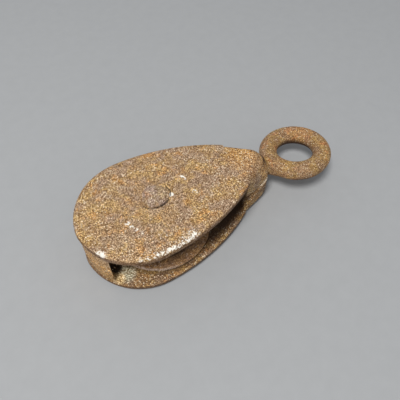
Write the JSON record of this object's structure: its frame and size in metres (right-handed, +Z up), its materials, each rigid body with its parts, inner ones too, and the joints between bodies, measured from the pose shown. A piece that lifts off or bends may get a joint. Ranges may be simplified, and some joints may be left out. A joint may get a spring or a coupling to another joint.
{
  "type": "single pulley",
  "caption": "Rusty cast-iron pulley block: egg-shaped closed-tail shell of two halves, grooved sheave on a riveted axle, and a forged swivel eye at the head.",
  "frame": {"origin": "middle of the base, on the surface that the block lies on, halfway between the tail's end and the eye's end", "axes": "+X along the length from the tail to the swivel eye, +Z up along the axle towards the hammered rivet end, +Y across the width"},
  "size_m": [0.1799, 0.073, 0.0433],
  "materials": {
    "shell_iron": "rusty, pitted",
    "sheave_iron": "dark rust, worn in the groove",
    "bush_brass": "dull, greasy",
    "forged_iron": "orange rust, pitted"
  },
  "bodies": {
    "shell": {"upper_shell": "shell_iron", "lower_shell": "shell_iron", "axle_rivet": "forged_iron", "rivet_washer": "forged_iron"},
    "wheel": {"sheave": "sheave_iron", "sheave_bush": "bush_brass"},
    "eye": {"swivel_eye": "forged_iron", "swivel_washer": "forged_iron"}
  },
  "joints": [
    {"name": "sheave_spin", "type": "hinge", "parent": "shell", "child": "wheel", "pos_m": [-0.03995, 0, 0.0205], "axis": [0, 0, 1], "continuous": true},
    {"name": "eye_swivel", "type": "hinge", "parent": "shell", "child": "eye", "pos_m": [0.03, 0, 0.0205], "axis": [1, 0, 0], "continuous": true}
  ]
}
